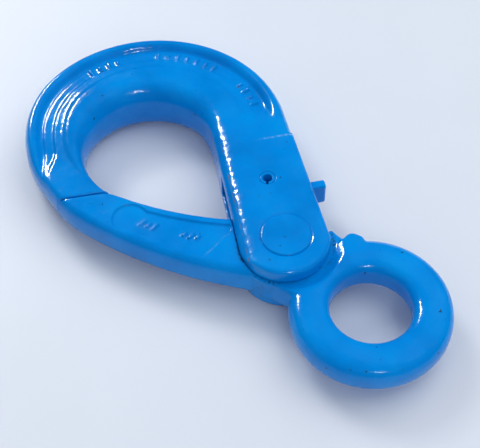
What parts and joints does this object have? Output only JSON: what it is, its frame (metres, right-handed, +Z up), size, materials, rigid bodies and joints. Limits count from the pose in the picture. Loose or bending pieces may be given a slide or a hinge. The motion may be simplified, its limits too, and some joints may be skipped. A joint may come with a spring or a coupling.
{
  "type": "eye hook with latch",
  "caption": "Forged self-locking lifting hook lying on its side: a round eye with a swinging latch arm that closes the hook's bowl, and a thumb trigger on the back.",
  "frame": {"origin": "centre of the bounding box in plan, at the bottom: the hook lies flat on the plane z = 0 with its lower pin head and bead touching it", "axes": "+X along the load line from the bowl towards the eye, +Y towards the hook's back, away from the latch arm, +Z up, along both pins"},
  "size_m": [0.2657, 0.1366, 0.032],
  "materials": {
    "blue_enamel_body": "thick glossy blue stoving enamel over a forged surface",
    "blue_enamel_latch": "thick glossy blue stoving enamel over a forged surface",
    "blue_enamel_pin": "the same blue enamel over the pin's low heads",
    "blue_enamel_trigger": "the same blue enamel, thinner at the tab's edges",
    "painted_spring_steel": "spring steel under blue enamel, dark inside the tube",
    "spring_steel": "drawn spring wire, unpainted"
  },
  "bodies": {
    "body": {"hook_body": "blue_enamel_body", "load_pin": "blue_enamel_pin", "trigger_pin": "painted_spring_steel"},
    "latch": {"eye_latch": "blue_enamel_latch"},
    "trigger": {"trigger": "blue_enamel_trigger", "trigger_spring": "spring_steel"}
  },
  "joints": [
    {"name": "latch_swing", "type": "hinge", "parent": "body", "child": "latch", "pos_m": [0.03815, -0.01072, 0.016], "axis": [0, 0, 1], "range_deg": [0, 45]},
    {"name": "trigger_press", "type": "hinge", "parent": "body", "child": "trigger", "pos_m": [0.00739, 0.0111, 0.016], "axis": [0, 0, 1], "range_deg": [0, 14], "stiffness_Nm_per_rad": 0.3, "springref_deg": -17.19}
  ]
}
